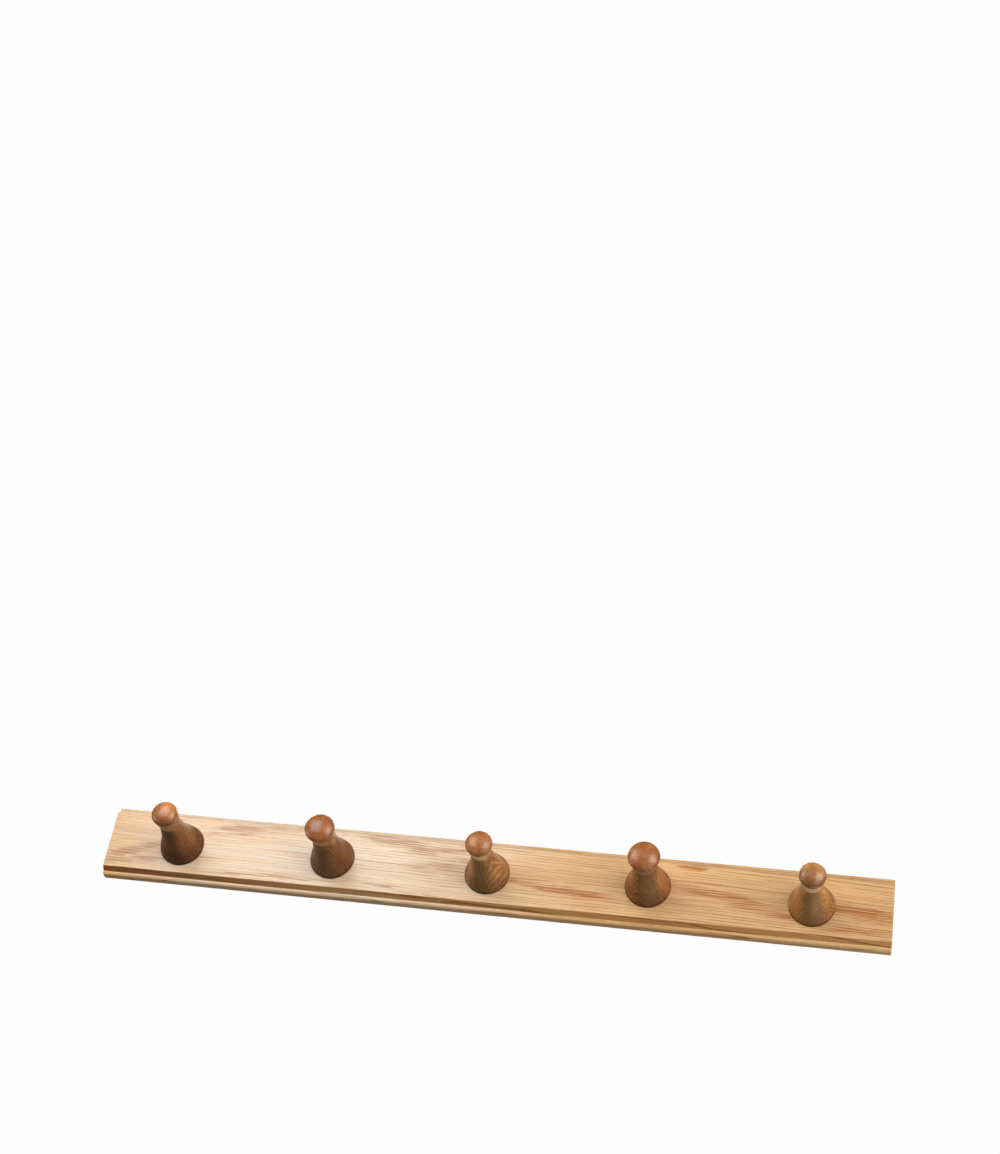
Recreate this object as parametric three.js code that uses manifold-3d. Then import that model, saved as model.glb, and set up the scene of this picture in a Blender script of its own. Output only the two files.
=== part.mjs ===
// Wall hook rack: an oak board with moulded long edges and five turned wooden pegs.
// Each peg is held by one countersunk screw driven from behind, and the rack hangs on two
// keyhole plates let into the back of the board.
//
// Millimetres. X runs along the board, +Z is up, the pegs point to -Y.
// The back face lies on the wall plane Y = 0 and the origin is its centre.

import * as THREE from 'three';
import { mergeVertices } from 'three/addons/utils/BufferGeometryUtils.js';
import Module from 'manifold-3d';

// ---- driving dimensions ---------------------------------------------------------------

// board
const BOARD_LENGTH = 750;
const BOARD_WIDTH = 71.5;
const BOARD_THICKNESS = 14;
const LIP_DROP = 4.7;       // how far the outer lip lies below the front face
const BEVEL_RUN = 3.7;      // width of the bevel between the front face and the lip's ledge
const LEDGE_RUN = 3.4;      // flat ledge between the bevel and the outer edge
const LIP_RADIUS = 3;       // rounding of the lip's front corner
const BACK_EASING = 0.6;    // small chamfer on the back's long edges

// pegs, from left to right as seen from the front. Hand turning and drilling make each a little
// different: x and rise place the peg along and above the board's centre, head and neck are
// diameters, and rim is the height of the head's widest line above the board's face.
const PEGS = [
  { x: -301.4, rise: -0.1, head: 25.0, neck: 19.8, rim: 66.2 },
  { x: -151.1, rise: 1.1, head: 28.4, neck: 21.4, rim: 63.8 },
  { x: -0.3, rise: 0.6, head: 25.4, neck: 19.2, rim: 63.4 },
  { x: 151.1, rise: 3.0, head: 29.6, neck: 21.8, rim: 63.2 },
  { x: 301.6, rise: -0.3, head: 24.8, neck: 19.2, rim: 63.7 },
];
const BASE_RADIUS = 21.5;
const BASE_EASING = 0.9;    // rounding of the base's rim
const HEAD_DOME = 7.1;      // height of the dome above its rim
const HEAD_LIP = 0.5;       // width of the flat under the head's rim, outside the cove
const PEG_SIDES = 28;

// the flank between base and neck, for a neck of SLIM_NECK: [radius, share of the rim's height].
// A thicker neck thickens the flank below it in proportion to the height.
const FLANK = [[20.4, 0.06], [18.6, 0.15], [15.8, 0.26], [13.1, 0.4], [10.8, 0.58]];
const SLIM_NECK = 9.3;
const NECK_HEIGHT = 0.75;   // share of the rim's height at which the peg is thinnest
const COVE_HEIGHT = 0.965;  // share at which the cove above the neck meets the head's underside
const COVE_CURVE = 1.15;    // 1 is a straight cone, more is hollower

// screw through the board into each peg
const PEG_SCREW = { head: 4.2, shank: 2, core: 1.7, length: 36, smooth: 15, cone: 2.3, slot: 4.4 };
const PEG_BORE = { radius: 2.3, depth: 25 };

// keyhole plates, one between the outer two pegs at each end
const PLATE_X = 226;
const PLATE_LENGTH = 40;
const PLATE_WIDTH = 16;
const PLATE_THICKNESS = 1.6;
const ENTRY_RADIUS = 4.6;   // round hole that passes over a wall screw's head
const ENTRY_Z = -5;
const SLOT_RADIUS = 2.4;    // half the width of the slot that the wall screw's shank runs up
const SLOT_TOP_Z = 6;
const PLATE_SCREW_Z = 15;
const POCKET_RADIUS = 5.25; // half the width of the pocket behind the plate
const POCKET_DEPTH = 7.5;

const PLATE_SCREW = { head: 2.8, shank: 1.3, core: 1.3, length: 10, smooth: 5, cone: 1.5, slot: 2.8 };

// fits
const GAP = 0.3;            // clearance between a piece and what it sits in
const HEAD_SUNK = 0.3;      // how far a screw's head sits below the surface it is driven into
const OVERCUT = 1;          // how far a cutting solid runs past the surface it cuts
const ROUND_SIDES = 20;

// ---- solids -----------------------------------------------------------------------------

const wasm = await Module();
wasm.setup();

function toSolid(geometry) {
  const bare = geometry.clone();
  bare.deleteAttribute('normal');
  bare.deleteAttribute('uv');
  const merged = mergeVertices(bare);
  const vertProperties = new Float32Array(merged.attributes.position.array);
  const triVerts = new Uint32Array(merged.index.array);
  return new wasm.Manifold(new wasm.Mesh({ numProp: 3, vertProperties, triVerts }));
}

function toGeometry(solid) {
  const { vertProperties, triVerts } = solid.getMesh();
  const geometry = new THREE.BufferGeometry();
  geometry.setAttribute('position', new THREE.BufferAttribute(vertProperties, 3));
  geometry.setIndex(new THREE.BufferAttribute(triVerts, 1));
  geometry.computeVertexNormals();
  return geometry;
}

function cut(geometry, cutters) {
  const rest = cutters.reduce((solid, cutter) => solid.subtract(toSolid(cutter)), toSolid(geometry));
  return toGeometry(rest);
}

// A body of revolution about the line through (x, z) along Y. Its outline is a list of
// [radius, depth] pairs, with the depth measured from the wall plane towards the pegs.
function turned(outline, x, z, sides = ROUND_SIDES) {
  const points = outline.map(([radius, depth]) => new THREE.Vector2(radius, -depth)).reverse();
  return new THREE.LatheGeometry(points, sides).translate(x, 0, z);
}

// A slab with a flat outline in X and Z, between two depths behind the wall plane.
function slab(shape, fromDepth, toDepth, x) {
  const geometry = new THREE.ExtrudeGeometry(shape, {
    depth: toDepth - fromDepth,
    bevelEnabled: false,
    curveSegments: ROUND_SIDES / 2,
  });
  return geometry.rotateX(Math.PI / 2).translate(x, -fromDepth, 0);
}

// An upright outline with straight sides and half-round ends centred at the heights low and high.
function roundEnded(radius, low, high, Outline = THREE.Shape) {
  const outline = new Outline();
  outline.absarc(0, high, radius, 0, Math.PI, false);
  outline.absarc(0, low, radius, Math.PI, 2 * Math.PI, false);
  outline.closePath();
  return outline;
}

// ---- board ------------------------------------------------------------------------------

// Half of the board's section from the back face round to the front face, as [depth, height].
function boardEdge() {
  const edge = BOARD_WIDTH / 2;
  const ledgeDepth = BOARD_THICKNESS - LIP_DROP;
  const bevelFoot = edge - LEDGE_RUN;
  const steps = 6;
  const points = [[0, edge - BACK_EASING], [BACK_EASING, edge]];
  for (let i = 0; i <= steps; i += 1) {
    const turn = (i / steps) * (Math.PI / 2);
    const depth = ledgeDepth - LIP_RADIUS * (1 - Math.sin(turn));
    points.push([depth, edge - LIP_RADIUS * (1 - Math.cos(turn))]);
  }
  points.push([ledgeDepth, bevelFoot], [BOARD_THICKNESS, bevelFoot - BEVEL_RUN]);
  return points;
}

function boardBlank() {
  const upper = boardEdge();
  const lower = upper.map(([depth, height]) => [depth, -height]).reverse();
  const section = new THREE.Shape(
    [...upper, ...lower].map(([depth, height]) => new THREE.Vector2(-depth, height)),
  );
  const geometry = new THREE.ExtrudeGeometry(section, { depth: BOARD_LENGTH, bevelEnabled: false });
  const along = new THREE.Vector3(1, 0, 0);
  const outward = new THREE.Vector3(0, 1, 0);
  const up = new THREE.Vector3(0, 0, 1);
  geometry.applyMatrix4(new THREE.Matrix4().makeBasis(outward, up, along));
  return geometry.translate(-BOARD_LENGTH / 2, 0, 0);
}

// Clearance hole and countersink for a screw driven from depth start to depth end.
function screwHole(screw, start, end, x, z) {
  const mouth = screw.head + GAP;
  const bore = screw.shank + GAP + 0.1;
  const seat = start + HEAD_SUNK;
  return turned([
    [0, start - OVERCUT], [mouth, start - OVERCUT], [mouth, seat],
    [bore, seat + screw.cone + GAP], [bore, end], [0, end],
  ], x, z);
}

function backboard() {
  const cutters = PEGS.map(({ x, rise }) => (
    screwHole(PEG_SCREW, 0, BOARD_THICKNESS + OVERCUT, x, rise)
  ));
  for (const side of [-1, 1]) {
    const x = side * PLATE_X;
    const reach = (PLATE_LENGTH - PLATE_WIDTH) / 2;
    const recess = roundEnded(PLATE_WIDTH / 2 + GAP, -reach, reach);
    cutters.push(slab(recess, -OVERCUT, PLATE_THICKNESS + GAP, x));
    cutters.push(slab(roundEnded(POCKET_RADIUS, ENTRY_Z, SLOT_TOP_Z), -OVERCUT, POCKET_DEPTH, x));
    for (const z of [-PLATE_SCREW_Z, PLATE_SCREW_Z]) {
      const pilot = PLATE_SCREW.shank + GAP;
      const end = PLATE_SCREW.length + HEAD_SUNK + GAP;
      cutters.push(turned([[0, 0], [pilot, 0], [pilot, end], [0, end]], x, z));
    }
  }
  return cut(boardBlank(), cutters);
}

// ---- pegs -------------------------------------------------------------------------------

// Outline of a peg from the end of its screw bore, round its base and flank, to its crown.
function pegOutline({ head, neck, rim }) {
  const face = BOARD_THICKNESS;
  const headRadius = head / 2;
  const neckRadius = neck / 2;
  const thicker = (neckRadius - SLIM_NECK) / NECK_HEIGHT;
  const flank = new THREE.SplineCurve([
    new THREE.Vector2(BASE_RADIUS, face + BASE_EASING),
    ...FLANK.map(([radius, share]) => (
      new THREE.Vector2(radius + thicker * share, face + share * rim)
    )),
    new THREE.Vector2(neckRadius, face + NECK_HEIGHT * rim),
  ]);
  const outline = [
    [0, face + PEG_BORE.depth], [PEG_BORE.radius, face + PEG_BORE.depth],
    [PEG_BORE.radius, face], [BASE_RADIUS - BASE_EASING, face],
    ...flank.getPoints(11).map(({ x, y }) => [x, y]),
  ];
  // the cove between the neck and the head's underside
  const lip = headRadius - HEAD_LIP;
  for (const share of [0.25, 0.5, 0.75, 1]) {
    const height = (NECK_HEIGHT + (COVE_HEIGHT - NECK_HEIGHT) * share) * rim;
    outline.push([neckRadius + (lip - neckRadius) * share ** COVE_CURVE, face + height]);
  }
  // the dome
  for (const share of [0, 0.25, 0.5, 0.75, 1]) {
    const turn = share * (Math.PI / 2);
    const radius = share < 1 ? headRadius * Math.cos(turn) : 0;
    outline.push([radius, face + rim + HEAD_DOME * Math.sin(turn)]);
  }
  return outline;
}

// ---- screws -----------------------------------------------------------------------------

// A countersunk wood screw driven from the wall side, with a cross recess in its head.
function woodScrew({ head, shank, core, length, smooth, cone, slot }, x, z) {
  const top = HEAD_SUNK;
  const tip = top + length;
  const body = turned([
    [0, top], [head, top], [head, top + 0.25], [shank, top + cone],
    [shank, top + smooth], [core, top + smooth + 0.5], [core, tip - 3 * core], [0, tip],
  ], x, z);
  const arm = slot / 5;
  const depth = 2 * cone * 0.7;
  const recess = [[slot, arm], [arm, slot]].map(([width, height]) => (
    new THREE.BoxGeometry(width, depth, height).translate(x, -top, z)
  ));
  return cut(body, recess);
}

// ---- keyhole plates ---------------------------------------------------------------------

// The keyhole: a round entry below and a narrower slot above it with a round top.
function keyhole() {
  const hole = new THREE.Path();
  const meet = Math.acos(SLOT_RADIUS / ENTRY_RADIUS);
  hole.absarc(0, ENTRY_Z, ENTRY_RADIUS, meet, Math.PI - meet, true);
  hole.absarc(0, SLOT_TOP_Z, SLOT_RADIUS, Math.PI, 0, true);
  hole.closePath();
  return hole;
}

function keyholePlate(x) {
  const reach = (PLATE_LENGTH - PLATE_WIDTH) / 2;
  const shape = roundEnded(PLATE_WIDTH / 2, -reach, reach);
  shape.holes.push(keyhole());
  const sinks = [-PLATE_SCREW_Z, PLATE_SCREW_Z].map((z) => (
    screwHole(PLATE_SCREW, 0, PLATE_THICKNESS + OVERCUT, x, z)
  ));
  return cut(slab(shape, 0, PLATE_THICKNESS, x), sinks);
}

// ---- the rack ---------------------------------------------------------------------------

const oak = new THREE.MeshStandardMaterial({ color: 0xdbb78e, roughness: 0.5, metalness: 0 });
const darkWood = new THREE.MeshStandardMaterial({ color: 0x7c5033, roughness: 0.38, metalness: 0 });
const zinc = new THREE.MeshStandardMaterial({ color: 0xc3c6c9, roughness: 0.35, metalness: 1 });
const steel = new THREE.MeshStandardMaterial({ color: 0xa9adb1, roughness: 0.42, metalness: 1 });

const rack = new THREE.Group();

function addPiece(name, geometry, material) {
  const piece = new THREE.Mesh(geometry, material);
  piece.name = name;
  rack.add(piece);
}

addPiece('backboard', backboard(), oak);

PEGS.forEach((peg, i) => {
  addPiece(`peg_${i + 1}`, turned(pegOutline(peg), peg.x, peg.rise, PEG_SIDES), darkWood);
  addPiece(`peg_screw_${i + 1}`, woodScrew(PEG_SCREW, peg.x, peg.rise), zinc);
});

for (const [side, sign] of [['left', -1], ['right', 1]]) {
  const x = sign * PLATE_X;
  addPiece(`keyhole_plate_${side}`, keyholePlate(x), steel);
  addPiece(`plate_screw_${side}_lower`, woodScrew(PLATE_SCREW, x, -PLATE_SCREW_Z), zinc);
  addPiece(`plate_screw_${side}_upper`, woodScrew(PLATE_SCREW, x, PLATE_SCREW_Z), zinc);
}

export default rack;
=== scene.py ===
"""Looks of the wall hook rack: an oak board with moulded long edges, five turned dark wood pegs,
and the screws and keyhole plates behind it.

Row frame, metres: X runs along the board, +Z is up, the pegs point to -Y and the wall is Y = 0.
Every piece is built around the box of the CAD node that it replaces.
"""

import math

import bpy
import numpy as np
from mathutils import Matrix, Vector


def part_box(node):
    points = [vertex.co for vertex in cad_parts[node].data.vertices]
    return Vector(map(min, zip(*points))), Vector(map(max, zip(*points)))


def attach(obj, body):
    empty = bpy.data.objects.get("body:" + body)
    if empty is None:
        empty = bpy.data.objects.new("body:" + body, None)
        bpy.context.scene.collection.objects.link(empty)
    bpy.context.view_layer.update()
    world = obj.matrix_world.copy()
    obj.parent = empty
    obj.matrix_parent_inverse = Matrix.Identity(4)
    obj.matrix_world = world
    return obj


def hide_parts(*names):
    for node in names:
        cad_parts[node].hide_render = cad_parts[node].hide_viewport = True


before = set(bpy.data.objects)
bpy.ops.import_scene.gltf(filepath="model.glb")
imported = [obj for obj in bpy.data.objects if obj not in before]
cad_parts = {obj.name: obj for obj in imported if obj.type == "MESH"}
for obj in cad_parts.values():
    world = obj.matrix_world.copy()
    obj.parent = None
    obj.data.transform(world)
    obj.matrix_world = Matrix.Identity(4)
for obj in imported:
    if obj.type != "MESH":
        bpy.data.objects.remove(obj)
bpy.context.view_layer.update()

MM = 0.001

# ---- dimensions, in millimetres ------------------------------------------------------------

LIP_DROP = 4.7          # how far the board's outer lip lies below its front face
BEVEL_RUN = 3.7         # width of the bevel between the face and the lip's ledge
LEDGE_RUN = 3.4         # flat ledge between the bevel and the outer edge
LIP_RADIUS = 3.0        # rounding of the lip's front corner
BACK_EASING = 0.6       # rounding of the back's long corners
END_EASING = 0.45       # softened arris round each sawn end
ARRIS = 0.35            # softened arris between the face and the bevel

BASE_RADIUS = 21.5
BASE_EASING = 0.9       # rounding of the peg's foot
HEAD_LIP = 0.5          # the cove below the head stops this far inside the head's rim
HEAD_EDGE = 0.12        # the head's side stands this far inside its rim
HEAD_DOME = 7.1         # height of the dome above the rim
BORE_RADIUS, BORE_DEPTH = 2.3, 25.0     # the bore in each peg for its screw
# each peg's head and neck radius, and the height of its rim above the board's face
PEGS = [(12.5, 9.9, 66.2), (14.2, 10.7, 63.8), (12.7, 9.6, 63.4), (14.8, 10.9, 63.2), (12.4, 9.6, 63.7)]
PEG_NUMBERS = range(1, len(PEGS) + 1)
# the flank for a slim neck as (radius, share of the rim's height)
FLANK = [(20.4, 0.06), (18.6, 0.15), (15.8, 0.26), (13.1, 0.4), (10.8, 0.58)]
SLIM_NECK = 9.3
NECK_HEIGHT = 0.75      # share of the rim's height at which the peg is thinnest
COVE_HEIGHT = 0.965     # share at which the cove above the neck meets the head's underside
COVE_CURVE = 1.15       # 1 is a straight cone, more is hollower

# Screws: radii of the head, of the shank and of the thread's core, the length, its part without
# thread, the depth from the head's top to the cone's end, the pitch and the cross recess's length.
PEG_SCREW = dict(head=4.2, shank=2.0, core=1.45, length=36.0, smooth=15.0, cone=2.3, pitch=1.8,
                 slot=4.4)
PLATE_SCREW = dict(head=2.8, shank=1.3, core=0.95, length=10.0, smooth=2.2, cone=1.5, pitch=1.1,
                   slot=2.8)
HEAD_RIM = 0.3          # height of the straight edge of a screw's head
RIM_BEVEL = (0.25, 0.12)    # its bevel, across the head and along the screw
CREST_SPREAD = 0.28     # half the width of the thread's ridge, as a share of the pitch
TIP_TAPER = 4           # length of the pointed end, in core radii
HEAD_SUNK = 0.3         # how far the screw heads lie below the surface
GAP = 0.3               # clearance round screw heads and plates
BORE_GAP = 0.4          # clearance round a shank
OVERCUT = 1.0           # how far a cutter reaches past the piece that it cuts

ENTRY_RADIUS, ENTRY_Z = 4.6, -5.0       # the keyhole's round entry
SLOT_RADIUS, SLOT_TOP_Z = 2.4, 6.0      # the keyhole's slot
PLATE_SCREW_Z = 15.0                    # the plate's screws, above and below its middle
PLATE_BEVEL = 0.18                      # softening of the plate's edges
PILOT_START = 0.5                       # a pilot hole's cutter starts inside the plate's recess
POCKET_RADIUS, POCKET_DEPTH = 5.25, 7.5     # room behind the plate for a wall screw's head

# ---- fineness of the curves ----------------------------------------------------------------

PEG_SIDES = 144
FLANK_STEPS = 10        # on each stretch of a peg's flank
COVE_STEPS = 16
DOME_STEPS = 32
CORNER_STEPS = 8        # on the board's lip and on a peg's foot
EASING_STEPS = 4        # on the board's softened corners
KEYHOLE_STEPS = 32
ROUND_END_STEPS = 24
SCREW_SIDES = 36
THREAD_STEPS = 10       # rows of points on each turn of a thread
HOLE_SIDES = 48
PILOT_SIDES = 32
# edges that turn by more than this angle, in degrees, stay sharp
BOARD_SHARP, PEG_SHARP, SCREW_SHARP = 40, 14, 35
# cut edges that turn by more than this angle are bevelled
BEVEL_ANGLE, BEVEL_SEGMENTS = 40, 2

# ---- spacing of the growth rings, in millimetres -------------------------------------------

OAK_RING = 3.0
PEG_RING = 2.4

# ---- studio, in millimetres where nothing else is said -------------------------------------

FLOOR_Z = -1250.0       # the floor under the wall
FLOOR_REACH = 20000.0
FLOOR_BRIGHTNESS = 0.97
SURROUND_RADIUS = 30000.0
SURROUND_SIDES = 48
SURROUND_BRIGHTNESS = 0.99

# The camera stands below the rack, in front of it, and is turned up towards its middle.
FILM_WIDTH = 36.0
CAMERA_FOCAL = 1.69898  # focal length as a share of the picture's long side
CAMERA_ANGLES = (12.606, -32.312, 10.628)       # azimuth, elevation and roll, in degrees
CAMERA_PLACE = (0.33306, -1.68639, -0.75105)    # in metres
CAMERA_REACH = 100.0                            # in metres

# Lights: name, place, the point each faces, and size, all in metres, the power in watts, and
# whether a shiny surface shows the light.
SOFT_BOXES = [
    ("left_box", (-0.40, -0.58, 0.21), (-0.15, 0.0, 0.0), (0.44, 0.52), 2.45, True),
    ("right_box", (2.20, -2.30, 0.25), (0.1, 0.0, 0.0), (2.4, 2.0), 56, True),
    ("middle_fill", (0.06, -0.85, 0.24), (0.06, 0.0, 0.0), (0.5, 0.3), 2.9, False),
    ("low_right_box", (0.80, -0.55, -0.50), (0.20, 0.0, 0.0), (0.6, 0.5), 1.2, True),
    ("left_rim_box", (-2.00, -0.30, -0.30), (0.0, -0.05, 0.0), (0.9, 1.1), 5.5, True),
    ("under_box", (0.45, 0.22, -0.42), (0.25, -0.03, 0.0), (0.4, 0.3), 0.40, True),
    ("top_rim_box", (-0.20, 0.90, 0.90), (-0.05, 0.0, 0.0), (1.6, 0.5), 7.0, True),
    ("back_box", (-0.30, 1.60, 0.34), (0.0, 0.0, 0.0), (1.2, 0.30), 16, True),
]


# ---- mesh building -------------------------------------------------------------------------

def add_piece(name, mesh, material, node):
    """A finished piece of the rack, which takes the place of its CAD node, hides it and hangs from the
    root body.
    """
    piece = bpy.data.objects.new(name, mesh)
    bpy.context.scene.collection.objects.link(piece)
    mesh.materials.clear()
    mesh.materials.append(material)
    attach(piece, "root")
    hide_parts(node)
    return piece


def mesh_from(name, points, faces):
    """A mesh from points in millimetres."""
    mesh = bpy.data.meshes.new(name)
    mesh.from_pydata([Vector(p) * MM for p in points], [], faces)
    mesh.update()
    return mesh


def smooth_by_angle(mesh, degrees):
    """Smooth shading, apart from the edges that turn by more than an angle."""
    mesh.shade_smooth()
    mesh.set_sharp_from_angle(angle=math.radians(degrees))


def turned(name, outline, x, z, sides, swell=None):
    """A body of revolution about the line through (x, z) along Y. The outline is a list of
    (radius, depth), from the axis back to the axis, and depth grows away from the wall.
    swell(angle, depth, radius) gives a radius that changes round the axis, as on a thread."""
    points, rings = [], []
    for radius, depth in outline:
        if radius == 0:
            rings.append([len(points)] * sides)
            points.append((x, -depth, z))
            continue
        rings.append(list(range(len(points), len(points) + sides)))
        for k in range(sides):
            angle = 2 * math.pi * k / sides
            r = swell(angle, depth, radius) if swell else radius
            points.append((x + r * math.cos(angle), -depth, z + r * math.sin(angle)))
    faces = []
    for low, high in zip(rings, rings[1:]):
        for k in range(sides):
            corner = [low[k], low[(k + 1) % sides], high[(k + 1) % sides], high[k]]
            faces.append([c for i, c in enumerate(corner) if c not in corner[:i]])
    return mesh_from(name, points, faces)


def slab(name, outline, near, far, x):
    """A slab with an outline of (x, z) pairs, anticlockwise from the front, between two depths."""
    count = len(outline)
    points = [(x + u, -depth, v) for depth in (near, far) for u, v in outline]
    sides = [[k, (k + 1) % count, count + (k + 1) % count, count + k] for k in range(count)]
    return mesh_from(name, points, [list(range(count))[::-1], list(range(count, 2 * count)), *sides])


def arc(centre, radius, start, end, steps):
    """Points on an arc in a plane, angles in degrees."""
    angles = [math.radians(start + (end - start) * k / steps) for k in range(steps + 1)]
    return [(centre[0] + radius * math.cos(a), centre[1] + radius * math.sin(a)) for a in angles]


def round_ended(radius, low, high):
    """An upright outline with half-round ends centred at the heights low and high."""
    upper = arc((0, high), radius, 0, 180, ROUND_END_STEPS)
    return upper + arc((0, low), radius, 180, 360, ROUND_END_STEPS)


def keyhole():
    """The keyhole's outline: a round entry below and a narrower slot above it."""
    meet = math.degrees(math.acos(SLOT_RADIUS / ENTRY_RADIUS))
    slot_end = arc((0, SLOT_TOP_Z), SLOT_RADIUS, 0, 180, KEYHOLE_STEPS // 2)
    return slot_end + arc((0, ENTRY_Z), ENTRY_RADIUS, 180 - meet, 360 + meet, KEYHOLE_STEPS)


def spline(points, steps):
    """A Catmull-Rom curve through the points, with steps points on each stretch."""
    pts = [np.array(p, float) for p in points]
    pts = [2 * pts[0] - pts[1], *pts, 2 * pts[-1] - pts[-2]]
    curve = []
    for a, b, c, d in zip(pts, pts[1:], pts[2:], pts[3:]):
        for k in range(steps):
            t = k / steps
            curve.append(0.5 * (2 * b + (c - a) * t + (2 * a - 5 * b + 4 * c - d) * t ** 2
                                + (3 * b - a - 3 * c + d) * t ** 3))
    return [tuple(p) for p in (*curve, pts[-2])]


def cut(mesh, cutters, bevel=None):
    """The mesh with every cutter taken out, and its sharp edges softened by bevel millimetres."""
    body = bpy.data.objects.new("body", mesh)
    bpy.context.scene.collection.objects.link(body)
    tools = []
    for cutter in cutters:
        tool = bpy.data.objects.new("tool", cutter)
        bpy.context.scene.collection.objects.link(tool)
        tools.append(tool)
        difference = body.modifiers.new("cut", "BOOLEAN")
        difference.operation = "DIFFERENCE"
        difference.solver = "EXACT"
        difference.object = tool
    if bevel:
        softening = body.modifiers.new("soften", "BEVEL")
        softening.width = bevel * MM
        softening.segments = BEVEL_SEGMENTS
        softening.limit_method = "ANGLE"
        softening.angle_limit = math.radians(BEVEL_ANGLE)
    graph = bpy.context.evaluated_depsgraph_get()
    result = bpy.data.meshes.new_from_object(body.evaluated_get(graph))
    result.name = mesh.name
    for scrap in (*tools, body):
        bpy.data.objects.remove(scrap)
    return result


# ---- node trees ----------------------------------------------------------------------------

class Nodes:
    """Short calls for building a node tree. Values can be numbers or sockets."""

    def __init__(self, tree):
        self.tree = tree
        tree.nodes.clear()

    def add(self, kind, **settings):
        node = self.tree.nodes.new("ShaderNode" + kind)
        for key, value in settings.items():
            setattr(node, key, value)
        return node

    def plug(self, socket, value):
        """Links a socket to a socket, or sets it to a plain value."""
        if isinstance(value, bpy.types.NodeSocket):
            self.tree.links.new(value, socket)
        elif value is not None:
            socket.default_value = value

    def math(self, operation, a, b=None, c=None):
        node = self.add("Math", operation=operation)
        for socket, value in zip(node.inputs, (a, b, c)):
            self.plug(socket, value)
        return node.outputs[0]

    def vector(self, operation, a, b):
        node = self.add("VectorMath", operation=operation)
        self.plug(node.inputs[0], a)
        self.plug(node.inputs["Scale" if operation == "SCALE" else 1], b)
        return node.outputs[0]

    def combine(self, x, y, z):
        node = self.add("CombineXYZ")
        for socket, value in zip(node.inputs, (x, y, z)):
            self.plug(socket, value)
        return node.outputs[0]

    def separate(self, vector):
        node = self.add("SeparateXYZ")
        self.plug(node.inputs[0], vector)
        return node.outputs

    def place(self):
        """The point's own place on the piece, in millimetres."""
        return self.vector("SCALE", self.add("TexCoord").outputs["Object"], 1 / MM)

    def product(self, first, *others):
        """All the values multiplied together."""
        for other in others:
            first = self.math("MULTIPLY", first, other)
        return first

    def offset(self, value, middle, gain, start):
        """start plus gain times the value's distance from middle."""
        return self.math("MULTIPLY_ADD", self.math("SUBTRACT", value, middle), gain, start)

    def noise(self, vector, frequency, detail=2.0, roughness=0.5):
        """Noise with its own frequency along each axis of the vector."""
        node = self.add("TexNoise")
        self.plug(node.inputs["Vector"], self.vector("MULTIPLY", vector, frequency))
        node.inputs["Scale"].default_value = 1.0
        node.inputs["Detail"].default_value = detail
        node.inputs["Roughness"].default_value = roughness
        return node.outputs["Fac"]

    def remap(self, value, low, high, to_low=0.0, to_high=1.0, smooth=True):
        """The value taken from the range low to high onto to_low to to_high, and held there."""
        node = self.add("MapRange", interpolation_type="SMOOTHSTEP" if smooth else "LINEAR")
        self.plug(node.inputs["Value"], value)
        node.inputs["From Min"].default_value = low
        node.inputs["From Max"].default_value = high
        node.inputs["To Min"].default_value = to_low
        node.inputs["To Max"].default_value = to_high
        return node.outputs["Result"]

    def ramp(self, factor, stops):
        """A colour from stops of (position, sRGB colour)."""
        node = self.add("ValToRGB")
        elements = node.color_ramp.elements
        while len(elements) < len(stops):
            elements.new(0.5)
        for element, (position, colour) in zip(elements, stops):
            element.position = position
            element.color = linear(colour)
        self.plug(node.inputs[0], factor)
        return node.outputs[0]

    def mix(self, factor, a, b, blend="MIX"):
        node = self.add("Mix", data_type="RGBA", blend_type=blend)
        self.plug(node.inputs[0], factor)
        self.plug(node.inputs[6], a)
        self.plug(node.inputs[7], b)
        return node.outputs[2]

    def tint(self, base, amount, colour):
        """The base multiplied by a linear colour, as far as the amount goes."""
        if isinstance(colour, tuple):
            colour = (*colour, 1.0)
        return self.mix(amount, base, colour, "MULTIPLY")

    def bump(self, height, strength, distance):
        node = self.add("Bump")
        node.inputs["Strength"].default_value = strength
        node.inputs["Distance"].default_value = distance * MM
        self.plug(node.inputs["Height"], height)
        return node.outputs[0]


def linear(colour):
    """An sRGB colour of three 0-255 numbers as linear RGBA."""
    def channel(v):
        v /= 255
        return v / 12.92 if v <= 0.04045 else ((v + 0.055) / 1.055) ** 2.4
    return (*(channel(v) for v in colour), 1.0)


def blend(one, other, share):
    """A colour the given share of the way from one to the other."""
    return tuple(a + (b - a) * share for a, b in zip(one, other))


def new_material(name):
    """A material, its nodes and its main shader."""
    material = bpy.data.materials.new(name)
    material.use_nodes = True
    nodes = Nodes(material.node_tree)
    shader = nodes.add("BsdfPrincipled")
    output = nodes.add("OutputMaterial")
    nodes.plug(output.inputs["Surface"], shader.outputs[0])
    return material, nodes, shader


# ---- materials -----------------------------------------------------------------------------

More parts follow.
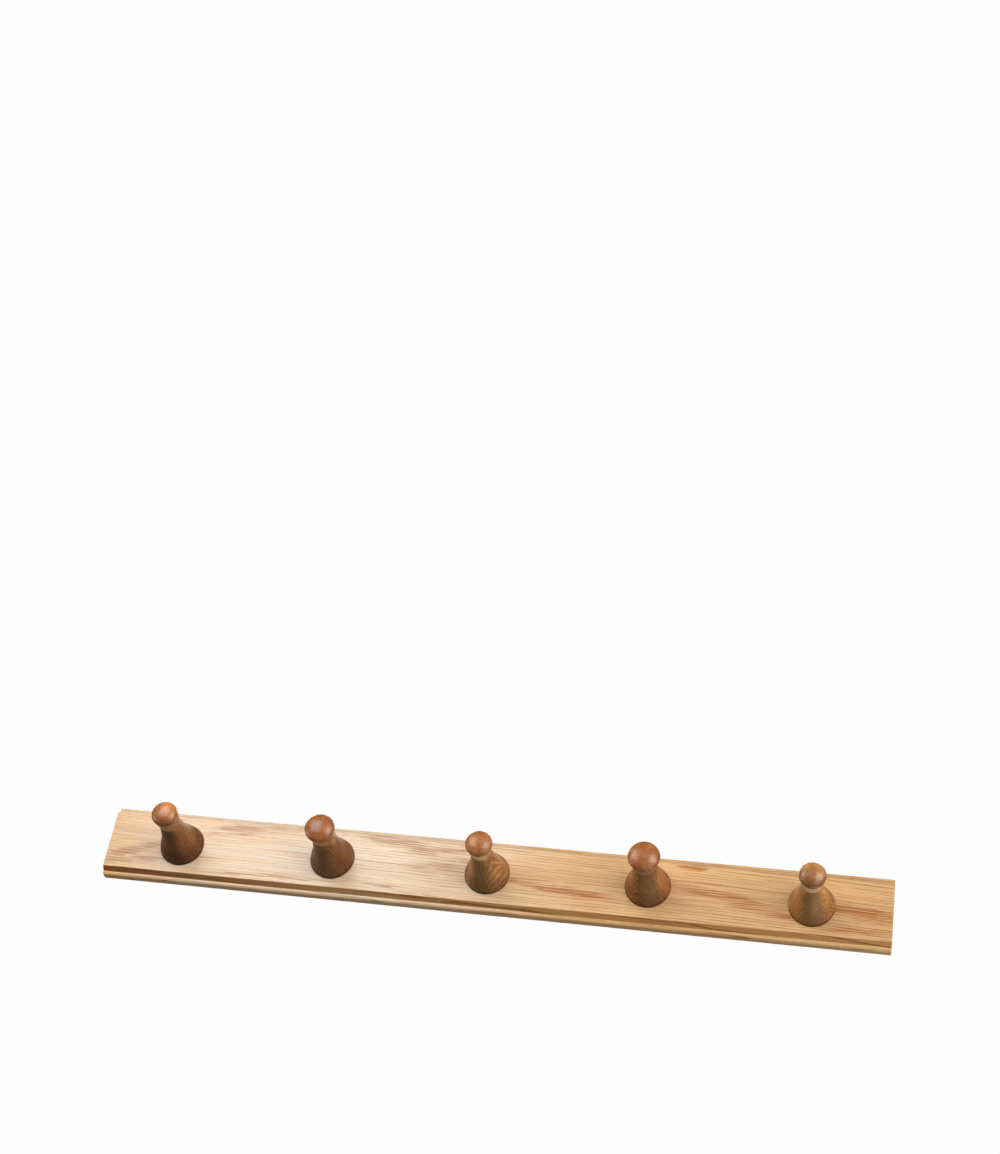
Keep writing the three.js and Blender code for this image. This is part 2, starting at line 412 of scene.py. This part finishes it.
# Darker figure in the board's face: (x, z, slope, half length, half width, strength), in mm.
OAK_FIGURE = [
    (-352, -10, 0.30, 40, 4.0, 0.75),
    (-330, -17, 0.12, 60, 3.0, 0.50),
    (-245, 22, 0.10, 26, 5.0, 0.80),
    (-195, 27, 0.02, 50, 4.0, 0.35),
    (-275, 15, 0.10, 24, 2.5, 0.40),
    (-215, -24, 0.03, 70, 1.8, 0.55),
    (-95, 25, -0.08, 34, 5.0, 0.72),
    (-50, 19, 0.10, 34, 4.0, 0.68),
    (-52, 1, 0.05, 24, 6.0, 0.40),
    (-85, -24, -0.10, 48, 1.8, 0.60),
    (70, -9, -0.09, 62, 3.6, 0.65),
    (190, 26, 0.10, 14, 2.2, 0.80),
    (215, 1, -0.16, 58, 5.0, 0.48),
    (265, -12, -0.10, 36, 3.0, 0.60),
    (350, -4, -0.10, 36, 6.0, 0.90),
    (352, -21, 0.02, 32, 2.6, 0.80),
]


def oak_grain(n, place):
    """Grain that bows gently and wanders a little, the same way right through the board: the
    place with its height replaced by the distance across the growth rings."""
    x, y, z = n.separate(place)
    bow = n.math("MULTIPLY", n.math("POWER", n.math("ADD", x, 700.0), 2.0), 0.00001)
    sway = n.noise(place, (0.004, 0.010, 0.012), detail=1.0)
    ripple = n.noise(place, (0.018, 0.05, 0.07))
    across = n.math("ADD", n.math("MULTIPLY_ADD", y, 0.35, z), bow)
    across = n.offset(sway, 0.5, 10.0, across)
    across = n.offset(ripple, 0.5, 2.2, across)
    return n.combine(x, y, across)


def oak_figure(n, place, grain):
    """Darker figure, feathered and streaked along the fibres."""
    x, _, z = n.separate(place)
    feather = n.noise(grain, (0.035, 0.4, 0.42), detail=4.0, roughness=0.65)
    ragged = n.offset(feather, 0.5, 12.0, z)
    figure = 0.0
    for centre_x, centre_z, slope, half_length, half_width, strength in OAK_FIGURE:
        from_centre = n.math("SUBTRACT", x, centre_x)
        along = n.math("DIVIDE", from_centre, half_length)
        middle_line = n.math("MULTIPLY_ADD", from_centre, slope, centre_z)
        beside = n.math("DIVIDE", n.math("SUBTRACT", ragged, middle_line), half_width)
        distance = n.math("ADD", n.product(along, along), n.product(beside, beside))
        distance = n.product(distance, n.math("MULTIPLY_ADD", distance, 0.85, 0.15))
        patch = n.product(n.math("EXPONENT", n.product(distance, -1.0)), 2.2 * strength)
        figure = n.math("MAXIMUM", figure, patch)
    streak = n.remap(n.noise(grain, (0.018, 0.65, 0.75), detail=3.0), 0.44, 0.56, 0.18, 1.0)
    return n.product(figure, streak)


def oak(board_width, board_length):
    """Light oak with thin pore lines along X, soft darker figure and satin lacquer."""
    material, n, shader = new_material("light_oak")
    place = n.place()
    x, _, z = n.separate(place)
    grain = oak_grain(n, place)
    across = n.separate(grain)[2]

    # growth rings, unevenly spaced, each a thin line of pores that fades in and out along the board
    uneven = n.noise(n.combine(x, 0.0, across), (0.002, 0.0, 0.09), detail=1.0)
    ring = n.math("MULTIPLY_ADD", uneven, 3.0, n.math("DIVIDE", across, OAK_RING))
    phase = n.math("FRACT", ring)
    line = n.remap(n.math("ABSOLUTE", n.math("SUBTRACT", phase, 0.5)), 0.13, 0.01)
    broken = n.remap(n.noise(grain, (0.020, 0.3, 0.42)), 0.36, 0.52)
    bold = n.remap(x, -260.0, 130.0, 0.52, 0.92)
    pores = n.product(line, bold, broken)
    dash = n.noise(grain, (0.10, 2.0, 2.6), roughness=0.6)
    fine_pores = n.remap(n.math("MULTIPLY_ADD", line, 0.10, dash), 0.60, 0.72)
    fibre = n.noise(grain, (0.018, 0.7, 0.8), detail=4.0, roughness=0.7)
    cloud = n.noise(grain, (0.007, 0.03, 0.05))

    # painted sheen: the left half is paler and pinker than the right, as under the left lamp's glare
    drift = n.offset(cloud, 0.5, 120.0, x)
    pale = n.product(n.remap(drift, -400.0, -250.0), n.remap(drift, 110.0, -120.0))
    tone = n.offset(fibre, 0.5, 1.5, 0.42)
    tone = n.offset(cloud, 0.5, 0.4, tone)
    warm_base = n.ramp(tone, [(0.0, (228, 190, 138)), (0.45, (211, 168, 114)), (1.0, (166, 116, 66))])
    sheen_pale_base = n.ramp(tone, [(0.0, (229, 212, 191)), (0.45, (212, 188, 161)), (1.0, (174, 138, 103))])
    base = n.mix(n.product(pale, 0.9), warm_base, sheen_pale_base)
    flush = n.remap(n.noise(grain, (0.006, 0.14, 0.16), detail=3.0), 0.45, 0.68)
    base = n.mix(n.product(flush, 0.30), base, linear((206, 150, 88)))
    figure_colour = n.mix(n.remap(x, -20.0, 130.0), (0.60, 0.43, 0.26, 1.0), (0.66, 0.40, 0.20, 1.0))
    base = n.tint(base, n.math("MINIMUM", oak_figure(n, place, grain), 1.0), figure_colour)
    base = n.tint(base, pores, (0.44, 0.31, 0.20))
    base = n.tint(base, n.product(fine_pores, 0.8), (0.66, 0.53, 0.40))

    # painted shade on the lower bevel, which faces down away from the lamps, darkest on the left
    bevel_foot = board_width / 2 - LEDGE_RUN
    bevel_top = bevel_foot - BEVEL_RUN
    below = n.product(z, -1.0)
    bevel = n.product(n.remap(below, bevel_top - 0.1, bevel_top + 0.2),
                      n.remap(below, bevel_foot + 0.1, bevel_foot - 0.2))
    half_length = board_length / 2
    bevel_shade_colour = n.ramp(n.remap(x, -half_length, half_length, smooth=False),
                         [(0.0, (151, 118, 82)), (0.46, (206, 186, 146)), (1.0, (226, 206, 176))])
    base = n.tint(base, bevel, bevel_shade_colour)

    # sawn end grain soaks up the finish and is darker and duller, and the back is dull too
    facing_x, facing_y, _ = n.separate(n.add("TexCoord").outputs["Normal"])
    end_grain = n.remap(n.math("ABSOLUTE", facing_x), 0.7, 0.95)
    base = n.mix(n.product(end_grain, 0.55), base, linear((166, 116, 70)))
    n.plug(shader.inputs["Base Color"], base)
    dull = n.math("MAXIMUM", end_grain, n.remap(facing_y, 0.5, 0.9))

    roughness = n.math("MULTIPLY_ADD", fibre, 0.10, 0.36)
    roughness = n.math("MULTIPLY_ADD", pores, 0.12, roughness)
    n.plug(shader.inputs["Roughness"], n.math("MULTIPLY_ADD", dull, 0.25, roughness))
    shader.inputs["Specular IOR Level"].default_value = 0.5
    shader.inputs["Coat Weight"].default_value = 0.7
    shader.inputs["Coat Roughness"].default_value = 0.26
    relief = n.math("SUBTRACT", n.product(fibre, 0.3), n.math("MAXIMUM", pores, fine_pores))
    n.plug(shader.inputs["Normal"], n.bump(relief, 0.25, 0.10))
    return material


# The pegs' wood. turn and tilt: how the blank lay in the tree, in degrees. warmth: from red-brown
# to golden. lines: how clearly the rings show pale lines. flank_shade and flank_light: how far the
# flank is darkened by painted shade or lightened by painted light. skirt_shade: how dark the painted
# shade on the skirt is. cove_light: how strong the painted bounce light in the cove is. shade_side:
# where the painted shade along the flank's underside runs, in degrees from the underside towards +X.
# shade: how light that painted shade is. polish: how dark and red the head has become. head_top_light:
# how much the head is painted lighter above, as in light, and darker below, as in shade.
PEG_WOODS = [
    dict(turn=20, tilt=3, warmth=0.25, lines=0.10, flank_shade=0.42, flank_light=0.0, skirt_shade=0.90,
         cove_light=0.34, shade_side=-8, shade=0.54, polish=0.45, head_top_light=0.55),
    dict(turn=88, tilt=-2, warmth=0.05, lines=0.10, flank_shade=0.52, flank_light=0.0, skirt_shade=0.30,
         cove_light=0.36, shade_side=-9, shade=0.80, polish=0.70, head_top_light=0.0),
    dict(turn=132, tilt=9, warmth=0.6, lines=0.50, flank_shade=0.0, flank_light=0.16, skirt_shade=0.60,
         cove_light=1.0, shade_side=-7, shade=0.86, polish=0.60, head_top_light=0.15),
    dict(turn=62, tilt=4, warmth=0.3, lines=0.10, flank_shade=0.0, flank_light=0.36, skirt_shade=0.50,
         cove_light=0.22, shade_side=12, shade=0.80, polish=0.60, head_top_light=0.0),
    dict(turn=118, tilt=-8, warmth=1.0, lines=0.0, flank_shade=0.0, flank_light=0.55, skirt_shade=0.45,
         cove_light=0.95, shade_side=9, shade=0.90, polish=0.34, head_top_light=0.95),
]


def peg_wood(index, x, z, face, neck, lip, wood):
    """Dark oiled wood turned with its grain along the peg. x and z are the peg's axis, face is the
    depth of its foot, its cove lies between the depths neck and lip, and wood is one of PEG_WOODS."""
    material, n, shader = new_material(f"dark_wood_{index}")
    place = n.vector("SUBTRACT", n.place(), (x, 0.0, z))
    mapping = n.add("Mapping")
    n.plug(mapping.inputs["Vector"], place)
    turn, tilt, shade_side = (math.radians(wood[angle]) for angle in ("turn", "tilt", "shade_side"))
    mapping.inputs["Rotation"].default_value = (tilt, turn, 0.6 * tilt)
    mapping.inputs["Location"].default_value = (37.0 * index, 0.0, -53.0 * index)
    grain = mapping.outputs[0]

    # growth rings, each with a pale line and then darker towards its late wood
    across, along, through = n.separate(grain)
    wander = n.noise(grain, (0.06, 0.014, 0.06), detail=3.0)
    radius = n.offset(wander, 0.5, 9.0, n.math("MULTIPLY_ADD", through, 0.25, across))
    ring = n.math("FRACT", n.math("DIVIDE", radius, PEG_RING))
    late = n.remap(ring, 0.35, 0.98)
    pale_line = n.remap(n.math("ABSOLUTE", n.math("SUBTRACT", ring, 0.30)), 0.17, 0.03)
    fibre = n.noise(grain, (0.9, 0.03, 0.9), detail=4.0, roughness=0.62)
    cloud = n.noise(grain, (0.08, 0.025, 0.08), detail=1.0)
    dash = n.noise(grain, (1.9, 0.14, 1.9))
    pores = n.remap(n.math("MULTIPLY_ADD", late, 0.08, dash), 0.58, 0.68)

    # the flank and the head, by depth, and how far a point faces the line of the painted underside
    # shade
    side_x, height, side_z = n.separate(place)
    depth = n.product(height, -1.0)
    flank = n.remap(depth, neck + 0.5, neck - 5.0)
    head = n.remap(depth, lip - 0.4, lip + 0.4)
    reach = n.math("SQRT", n.math("MULTIPLY_ADD", side_x, side_x, n.product(side_z, side_z)))
    facing = n.math("SUBTRACT", n.product(side_x, math.sin(shade_side)), n.product(side_z, math.cos(shade_side)))
    facing = n.math("DIVIDE", facing, n.math("MAXIMUM", reach, 1.0))

    tone = n.offset(fibre, 0.5, 1.1, 0.42)
    tone = n.math("MULTIPLY_ADD", late, 0.14, tone)
    tone = n.offset(cloud, 0.5, 0.8, tone)
    light = blend((204, 140, 84), (212, 163, 106), wood["warmth"])
    middle = blend((155, 97, 51), (171, 121, 70), wood["warmth"])
    base = n.ramp(tone, [(0.0, light), (0.45, middle), (1.0, (90, 51, 27))])
    pore_stain = n.product(pores, n.math("MULTIPLY_ADD", flank, 0.12, 0.28))
    base = n.mix(pore_stain, base, linear((70, 38, 21)))
    base = n.mix(n.product(pale_line, flank, wood["lines"]), base, linear((214, 160, 104)))

    # painted light lightens the flank, and painted shade darkens it, more the nearer it is to the foot
    base = n.tint(base, n.product(flank, wood["flank_light"]), (1.8, 1.7, 1.6))
    flank_shading = n.product(n.remap(depth, neck, neck - 14.0), wood["flank_shade"])
    base = n.tint(base, flank_shading, (0.42, 0.34, 0.28))

    # painted light: the cove, where loops hang, is lightened golden as by light bounced from the board,
    # most of all underneath
    cove = n.product(n.remap(depth, neck - 3.0, neck + 1.5), n.remap(depth, lip + 0.6, lip - 1.2),
                     n.remap(facing, 0.35, 0.95, 0.22, 1.0), n.remap(fibre, 0.62, 0.38, 0.62, 1.0))
    base = n.mix(n.product(cove, wood["cove_light"]), base, linear((255, 218, 166)))

    # painted shade: a dull dark streak runs up the flank's underside to the neck
    ragged = n.offset(fibre, 0.5, 0.5, facing)
    streak = n.product(n.remap(ragged, 0.60, 0.94), n.remap(depth, neck + 0.5, neck - 0.7))
    underside_shade_colour = linear(tuple(c * wood["shade"] for c in (136, 108, 68)))
    dull = n.mix(n.product(fibre, 0.5), underside_shade_colour, base)
    base = n.mix(n.product(streak, 0.85), base, dull)

    # painted shade darkens the skirt, round the foot, most on its underside, and in a thin line under
    # the head's rim
    skirt_shading = n.product(n.remap(depth, face + 25.0, face + 8.0), wood["skirt_shade"])
    base = n.tint(base, skirt_shading, (0.45, 0.37, 0.32))
    foot = n.product(n.remap(depth, face + 4.5, face + 0.8), n.remap(facing, -0.3, 0.5, 0.2, 1.0))
    rim_shade = n.product(n.remap(depth, lip - 0.5, lip), n.remap(depth, lip + 1.4, lip + 0.8))
    base = n.tint(base, n.math("MAXIMUM", foot, n.product(rim_shade, 0.8)), (0.32, 0.25, 0.20))

    # the head is polished by hands, and painted light lies on its top and painted shade below
    base = n.tint(base, n.product(head, wood["polish"]), (0.88, 0.65, 0.45))
    base = n.tint(base, n.product(n.remap(side_z, 0.0, 11.0), head, wood["head_top_light"]), (1.90, 2.05, 2.15))
    base = n.tint(base, n.product(n.remap(side_z, 2.0, -11.0), head, wood["head_top_light"]), (0.58, 0.48, 0.40))
    n.plug(shader.inputs["Base Color"], base)
    n.plug(shader.inputs["Coat Weight"], n.math("MULTIPLY_ADD", head, 0.94, 0.06))
    rough = n.math("MULTIPLY_ADD", fibre, 0.16, 0.48)
    n.plug(shader.inputs["Roughness"], n.math("MULTIPLY_ADD", head, -0.14, rough))
    shader.inputs["Specular IOR Level"].default_value = 0.32
    shader.inputs["Coat Roughness"].default_value = 0.25
    turning = n.noise(n.combine(0.0, along, 0.0), (0.0, 1.4, 0.0))
    relief = n.math("SUBTRACT", n.product(turning, 0.4), pores)
    n.plug(shader.inputs["Normal"], n.bump(relief, 0.22, 0.08))
    return material


def plated_steel(name, colour, roughness, line_frequency):
    """Zinc-plated steel: a cloudy plating, faint lines and small scuffs."""
    material, n, shader = new_material(name)
    place = n.place()
    cloud = n.noise(place, (0.35, 0.35, 0.35), detail=3.0)
    lines = n.noise(place, line_frequency, detail=3.0, roughness=0.6)
    scuffs = n.remap(n.noise(place, (2.6, 1.1, 0.5), detail=4.0), 0.60, 0.72)
    tone = n.math("MULTIPLY_ADD", cloud, 0.5, n.product(lines, 0.5))
    dark = tuple(c * 0.78 for c in colour)
    base = n.ramp(tone, [(0.25, dark), (0.75, colour)])
    base = n.mix(n.product(scuffs, 0.35), base, linear(tuple(c * 0.6 for c in colour)))
    n.plug(shader.inputs["Base Color"], base)
    shader.inputs["Metallic"].default_value = 1.0
    rough = n.math("MULTIPLY_ADD", tone, 0.18, roughness)
    n.plug(shader.inputs["Roughness"], n.math("MULTIPLY_ADD", scuffs, 0.12, rough))
    n.plug(shader.inputs["Normal"], n.bump(lines, 0.12, 0.03))
    return material


# ---- board ---------------------------------------------------------------------------------

def board_section(width, thickness):
    """The board's section as (depth, height) pairs, anticlockwise seen from its right end."""
    edge = width / 2
    ledge = thickness - LIP_DROP
    foot = edge - LEDGE_RUN
    top = foot - BEVEL_RUN
    crease_depth, crease_run = 0.2, 0.25    # a small slope joins the ledge to the bevel
    back_corner = (BACK_EASING, edge - BACK_EASING)
    lip_corner = (ledge - LIP_RADIUS, edge - LIP_RADIUS)
    half = [(0.0, edge - BACK_EASING)]
    half += arc(back_corner, BACK_EASING, 180, 90, EASING_STEPS)[1:]
    half += arc(lip_corner, LIP_RADIUS, 90, 0, CORNER_STEPS)
    half += [(ledge, foot + crease_run), (ledge + crease_depth, foot)]
    slope = Vector((thickness - (ledge + crease_depth), top - foot)).normalized() * ARRIS
    bevel_end = Vector((thickness, top)) - slope
    arris_middle = (thickness - 0.08 * ARRIS, top - 0.15 * ARRIS)
    half += [tuple(bevel_end), arris_middle, (thickness, top - ARRIS)]
    return half + [(depth, -height) for depth, height in reversed(half)]


def inset(section, distance):
    """A closed outline moved inwards by a distance."""
    points = [Vector(p) for p in section]
    moved = []
    for before, here, after in zip(points[-1:] + points[:-1], points, points[1:] + points[:1]):
        one, two = (here - before).normalized(), (after - here).normalized()
        inward = Vector((one.y + two.y, -one.x - two.x))
        spread = max(0.5, 1 + one.dot(two))
        moved.append(tuple(here + inward * distance / spread))
    return moved


def board_blank(low, high):
    """The moulded board before it is cut, with a softened arris round each sawn end."""
    section = board_section((high.z - low.z) / MM, (high.y - low.y) / MM)
    left, right = low.x / MM, high.x / MM
    rings = []      # each ring's place along the board, and how far its section is inset
    for k in range(EASING_STEPS + 1):
        turn = math.radians(90 * k / EASING_STEPS)
        rings.append((left + END_EASING * (1 - math.cos(turn)), END_EASING * (1 - math.sin(turn))))
    rings += [(right - (x - left), inward) for x, inward in reversed(rings)]
    count = len(section)
    points = []
    for x, inward in rings:
        points += [(x, -depth, height) for depth, height in inset(section, inward)]
    faces = [list(range(count)), list(range(len(points) - count, len(points)))[::-1]]
    for r in range(len(rings) - 1):
        for k in range(count):
            a, b = r * count + k, r * count + (k + 1) % count
            faces.append([b, a, a + count, b + count])
    return mesh_from("backboard", points, faces)


def screw_hole(screw, thickness, x, z):
    """A clearance hole, countersunk from behind, for a screw through this much material."""
    mouth = screw["head"] + GAP
    bore = screw["shank"] + BORE_GAP
    end = thickness + OVERCUT
    outline = [(0, -OVERCUT), (mouth, -OVERCUT), (mouth, HEAD_SUNK),
               (bore, HEAD_SUNK + screw["cone"] + GAP), (bore, end), (0, end)]
    return turned("hole", outline, x, z, HOLE_SIDES)


def centre_of(node):
    """A node's middle in X and Z, in millimetres."""
    low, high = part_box(node)
    middle = (low + high) / 2 / MM
    return middle.x, middle.z


def build_board(material, plate_size):
    """The board with holes for the pegs' screws, and with room and pilot holes for the plates."""
    low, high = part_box("backboard")
    thickness = (high.y - low.y) / MM
    cutters = [screw_hole(PEG_SCREW, thickness, *centre_of(f"peg_{i}")) for i in PEG_NUMBERS]
    width, height, depth = plate_size
    reach = (height - width) / 2
    recess = round_ended(width / 2 + GAP, -reach, reach)
    pocket = round_ended(POCKET_RADIUS, ENTRY_Z, SLOT_TOP_Z)
    bore = PLATE_SCREW["shank"] + GAP
    end = PLATE_SCREW["length"] + HEAD_SUNK + GAP
    pilot = [(0, PILOT_START), (bore, PILOT_START), (bore, end), (0, end)]
    for side in ("left", "right"):
        x, _ = centre_of(f"keyhole_plate_{side}")
        cutters.append(slab("recess", recess, -OVERCUT, depth + GAP, x))
        cutters.append(slab("pocket", pocket, -OVERCUT, POCKET_DEPTH, x))
        for z in (-PLATE_SCREW_Z, PLATE_SCREW_Z):
            cutters.append(turned("pilot", pilot, x, z, PILOT_SIDES))
    mesh = cut(board_blank(low, high), cutters)
    smooth_by_angle(mesh, BOARD_SHARP)
    board = add_piece("oak_backboard", mesh, material, "backboard")
    even = board.modifiers.new("even_normals", "WEIGHTED_NORMAL")
    even.keep_sharp = True


# ---- pegs ----------------------------------------------------------------------------------

def peg_outline(face, head_radius, neck_radius, rim):
    """From the end of the screw's bore, round the base and up the flank, to the crown."""
    bore_end = face + BORE_DEPTH
    outline = [(0, bore_end), (BORE_RADIUS, bore_end), (BORE_RADIUS, face)]
    foot_corner = (BASE_RADIUS - BASE_EASING, face + BASE_EASING)
    outline += arc(foot_corner, BASE_EASING, -90, 0, CORNER_STEPS)

    thicker = (neck_radius - SLIM_NECK) / NECK_HEIGHT
    flank = [(radius + thicker * share, face + share * rim) for radius, share in FLANK]
    neck = (neck_radius, face + NECK_HEIGHT * rim)
    outline += spline([(BASE_RADIUS, face + BASE_EASING), *flank, neck], FLANK_STEPS)[1:]

    for k in range(1, COVE_STEPS + 1):
        share = k / COVE_STEPS
        radius = neck_radius + (head_radius - HEAD_LIP - neck_radius) * share ** COVE_CURVE
        height = NECK_HEIGHT + (COVE_HEIGHT - NECK_HEIGHT) * share
        outline.append((radius, face + height * rim))

    outline.append((head_radius - HEAD_EDGE, face + 0.5 * (1 + COVE_HEIGHT) * rim))
    for k in range(DOME_STEPS + 1):
        turn = math.pi / 2 * k / DOME_STEPS
        radius = head_radius * math.cos(turn) if k < DOME_STEPS else 0
        outline.append((radius, face + rim + HEAD_DOME * math.sin(turn)))
    return outline


def build_pegs(face):
    """The five pegs, whose feet stand on the board's face."""
    for i, peg, wood in zip(PEG_NUMBERS, PEGS, PEG_WOODS):
        x, z = centre_of(f"peg_{i}")
        mesh = turned(f"turned_peg_{i}", peg_outline(face, *peg), x, z, PEG_SIDES)
        smooth_by_angle(mesh, PEG_SHARP)
        neck, lip = (face + share * peg[2] for share in (NECK_HEIGHT, COVE_HEIGHT))
        material = peg_wood(i, x, z, face, neck, lip, wood)
        add_piece(f"turned_peg_{i}", mesh, material, f"peg_{i}")


# ---- screws and plates ---------------------------------------------------------------------

def wood_screw(name, spec, x, z):
    """A countersunk wood screw with a rolled thread and a cross recess."""
    head, shank, core, pitch = (spec[key] for key in ("head", "shank", "core", "pitch"))
    top, tip = HEAD_SUNK, HEAD_SUNK + spec["length"]
    thread_start, taper_start = top + spec["smooth"], tip - TIP_TAPER * core
    thread_length = tip - thread_start
    rows = int(thread_length / pitch * THREAD_STEPS)
    across, along = RIM_BEVEL
    outline = [(0, top), (head - across, top), (head, top + along), (head, top + HEAD_RIM)]
    outline += [(shank, top + spec["cone"]), (shank, thread_start)]
    outline += [(core, thread_start + thread_length * k / rows) for k in range(1, rows)]
    outline.append((0, tip))

    def thread(angle, depth, radius):
        """The thread's crest winds round a core that tapers to the tip."""
        if depth <= thread_start:
            return radius
        turn = (depth / pitch + angle / (2 * math.pi)) % 1.0
        crest = max(0.0, 1 - abs(turn - 0.5) / CREST_SPREAD)
        body = core * min(1.0, (tip - depth) / (tip - taper_start) + 0.04)
        fade = min(1.0, (depth - thread_start) / pitch)
        return body + (shank - core) * crest * fade * min(1.0, body / core + 0.15)

    mesh = turned(name, outline, x, z, SCREW_SIDES, thread)
    arm, recess_depth = spec["slot"] / 5, spec["cone"] * 0.7
    tools = []
    for width, height in ((spec["slot"], arm), (arm, spec["slot"])):
        w, h = width / 2, height / 2
        bar = [(-w, z - h), (w, z - h), (w, z + h), (-w, z + h)]
        tools.append(slab("recess", bar, top - OVERCUT, top + recess_depth, x))
    mesh = cut(mesh, tools)
    smooth_by_angle(mesh, SCREW_SHARP)
    return mesh


def build_hardware(zinc, steel, plate_size):
    """The pegs' screws, and the two keyhole plates with their screws."""
    for i in PEG_NUMBERS:
        name = f"zinc_peg_screw_{i}"
        mesh = wood_screw(name, PEG_SCREW, *centre_of(f"peg_{i}"))
        add_piece(name, mesh, zinc, f"peg_screw_{i}")
    width, height, depth = plate_size
    reach = (height - width) / 2
    for side in ("left", "right"):
        x, _ = centre_of(f"keyhole_plate_{side}")
        tools = [slab("keyhole", keyhole(), -OVERCUT, depth + OVERCUT, x)]
        tools += [screw_hole(PLATE_SCREW, depth, x, z) for z in (-PLATE_SCREW_Z, PLATE_SCREW_Z)]
        plate = slab(f"hanger_{side}", round_ended(width / 2, -reach, reach), 0, depth, x)
        mesh = cut(plate, tools, bevel=PLATE_BEVEL)
        smooth_by_angle(mesh, BOARD_SHARP)
        add_piece(f"hanger_plate_{side}", mesh, steel, f"keyhole_plate_{side}")
        for end, z in (("lower", -PLATE_SCREW_Z), ("upper", PLATE_SCREW_Z)):
            name = f"zinc_plate_screw_{side}_{end}"
            mesh = wood_screw(name, PLATE_SCREW, x, z)
            add_piece(name, mesh, zinc, f"plate_screw_{side}_{end}")


# ---- studio --------------------------------------------------------------------------------

def soft_box(name, place, target, size, power, glossy):
    """A rectangular light that faces its target."""
    light = bpy.data.lights.new(name, "AREA")
    light.shape = "RECTANGLE"
    light.size, light.size_y = size
    light.energy = power
    lamp = bpy.data.objects.new(name, light)
    lamp.location = place
    lamp.rotation_euler = (Vector(target) - Vector(place)).to_track_quat("-Z", "Y").to_euler()
    lamp.visible_glossy = glossy
    bpy.context.scene.collection.objects.link(lamp)


def build_world():
    """Dim even light all round, brighter towards the right."""
    world = bpy.data.worlds.new("studio")
    bpy.context.scene.world = world
    world.use_nodes = True
    n = Nodes(world.node_tree)
    direction = n.separate(n.add("TexCoord").outputs["Generated"])
    front = n.remap(direction[1], 0.2, -0.6)
    side = n.remap(direction[0], -0.7, 0.6, 0.12, 0.26)
    background = n.add("Background")
    n.plug(background.inputs["Color"], n.mix(front, (1.0, 0.80, 0.58, 1), (1.0, 0.86, 0.70, 1)))
    n.plug(background.inputs["Strength"], side)
    output = n.add("OutputWorld")
    n.plug(output.inputs["Surface"], background.outputs[0])


def build_stage():
    """A plain white surround and a pale floor well below the rack, which only the camera sees."""
    rows = SURROUND_SIDES // 2
    outline = []
    for k in range(rows + 1):
        turn = math.pi * k / rows
        radius = SURROUND_RADIUS * math.sin(turn) if 0 < k < rows else 0
        outline.append((radius, -SURROUND_RADIUS * math.cos(turn)))
    surround = turned("surround", outline, 0, 0, SURROUND_SIDES)
    signs = ((-1, -1), (1, -1), (1, 1), (-1, 1))
    corners = [(FLOOR_REACH * u, FLOOR_REACH * v, FLOOR_Z) for u, v in signs]
    floor = mesh_from("floor", corners, [(0, 1, 2, 3)])
    for mesh, brightness in ((surround, SURROUND_BRIGHTNESS), (floor, FLOOR_BRIGHTNESS)):
        material = bpy.data.materials.new(mesh.name + "_white")
        material.use_nodes = True
        n = Nodes(material.node_tree)
        glow = n.add("Emission")
        glow.inputs["Color"].default_value = (brightness, brightness, brightness, 1)
        n.plug(n.add("OutputMaterial").inputs["Surface"], glow.outputs[0])
        mesh.materials.append(material)
        stage = bpy.data.objects.new(mesh.name, mesh)
        for ray in ("diffuse", "glossy", "transmission", "volume_scatter", "shadow"):
            setattr(stage, f"visible_{ray}", False)
        bpy.context.scene.collection.objects.link(stage)


def build_camera():
    """The fixed camera."""
    camera = bpy.data.cameras.new("camera")
    camera.sensor_width = FILM_WIDTH
    camera.lens = FILM_WIDTH * CAMERA_FOCAL
    camera.clip_end = CAMERA_REACH
    eye = bpy.data.objects.new("camera", camera)
    azimuth, elevation, roll = (math.radians(a) for a in CAMERA_ANGLES)
    level = math.cos(elevation)
    back = Vector((math.sin(azimuth) * level, -math.cos(azimuth) * level, math.sin(elevation)))
    turned_by = Matrix.Rotation(roll, 4, "Z").to_quaternion()
    eye.rotation_mode = "QUATERNION"
    eye.rotation_quaternion = back.to_track_quat("Z", "Y") @ turned_by
    eye.location = CAMERA_PLACE
    bpy.context.scene.collection.objects.link(eye)
    bpy.context.scene.camera = eye


def main():
    """Everything is built from the boxes of the CAD nodes."""
    bpy.context.scene.view_settings.view_transform = "Standard"
    plate_low, plate_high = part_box("keyhole_plate_left")
    span = (plate_high - plate_low) / MM
    plate_size = (span.x, span.z, span.y)
    board_low, board_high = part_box("backboard")
    board_width = (board_high.z - board_low.z) / MM
    board_length = (board_high.x - board_low.x) / MM
    build_board(oak(board_width, board_length), plate_size)
    build_pegs((board_high.y - board_low.y) / MM)
    zinc = plated_steel("zinc_plating", (205, 207, 210), 0.24, (4.0, 0.6, 4.0))
    steel = plated_steel("pressed_steel", (186, 190, 194), 0.30, (0.5, 6.0, 7.0))
    build_hardware(zinc, steel, plate_size)
    build_world()
    build_stage()
    for box in SOFT_BOXES:
        soft_box(*box)
    build_camera()


main()
